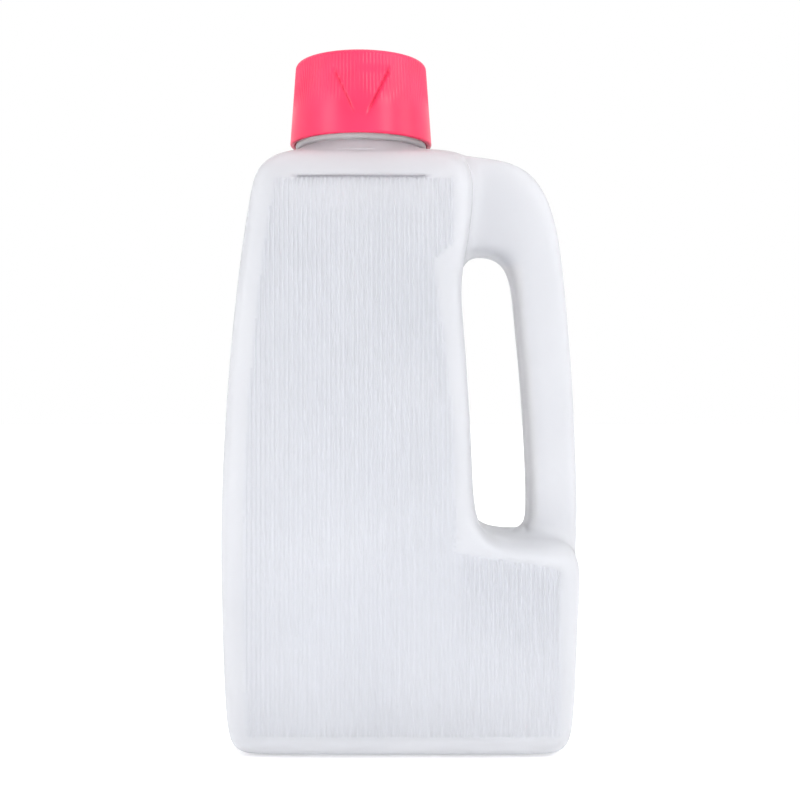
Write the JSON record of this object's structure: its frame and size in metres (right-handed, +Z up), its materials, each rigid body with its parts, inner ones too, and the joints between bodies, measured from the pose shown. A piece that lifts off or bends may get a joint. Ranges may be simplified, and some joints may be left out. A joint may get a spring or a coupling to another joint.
{
  "type": "handled bottle with screw cap",
  "caption": "Tall rounded-rectangular blow-moulded jug bottle with a hollow side handle, an off-centre threaded neck and a tapered screw cap.",
  "frame": {"origin": "on the ground under the middle of the whole bottle's outline", "axes": "+Z up, +X towards the handle, -Y out of the front panel"},
  "size_m": [0.1572, 0.08, 0.3],
  "materials": {
    "frosted_plastic": "frosted translucent natural polypropylene with fine moulded ribs",
    "pink_plastic": "satin injection-moulded pink plastic",
    "liner_foam": "white closed-cell sealing foam"
  },
  "bodies": {
    "bottle": {"bottle": "frosted_plastic"},
    "liner": {"cap_liner": "liner_foam"},
    "cap": {"cap": "pink_plastic"}
  },
  "joints": [
    {"name": "cap_lift", "type": "slide", "parent": "bottle", "child": "liner", "axis": [0, 0, 1], "range_m": [0, 0.009]},
    {"name": "cap_screw", "type": "hinge", "parent": "liner", "child": "cap", "pos_m": [-0.0175, 0, 0.28], "axis": [0, 0, 1], "range_deg": [0, 540]}
  ],
  "couplings": [
    {"joint": "cap_lift", "follows": "cap_screw", "m_per_rad": 0.00095493}
  ]
}
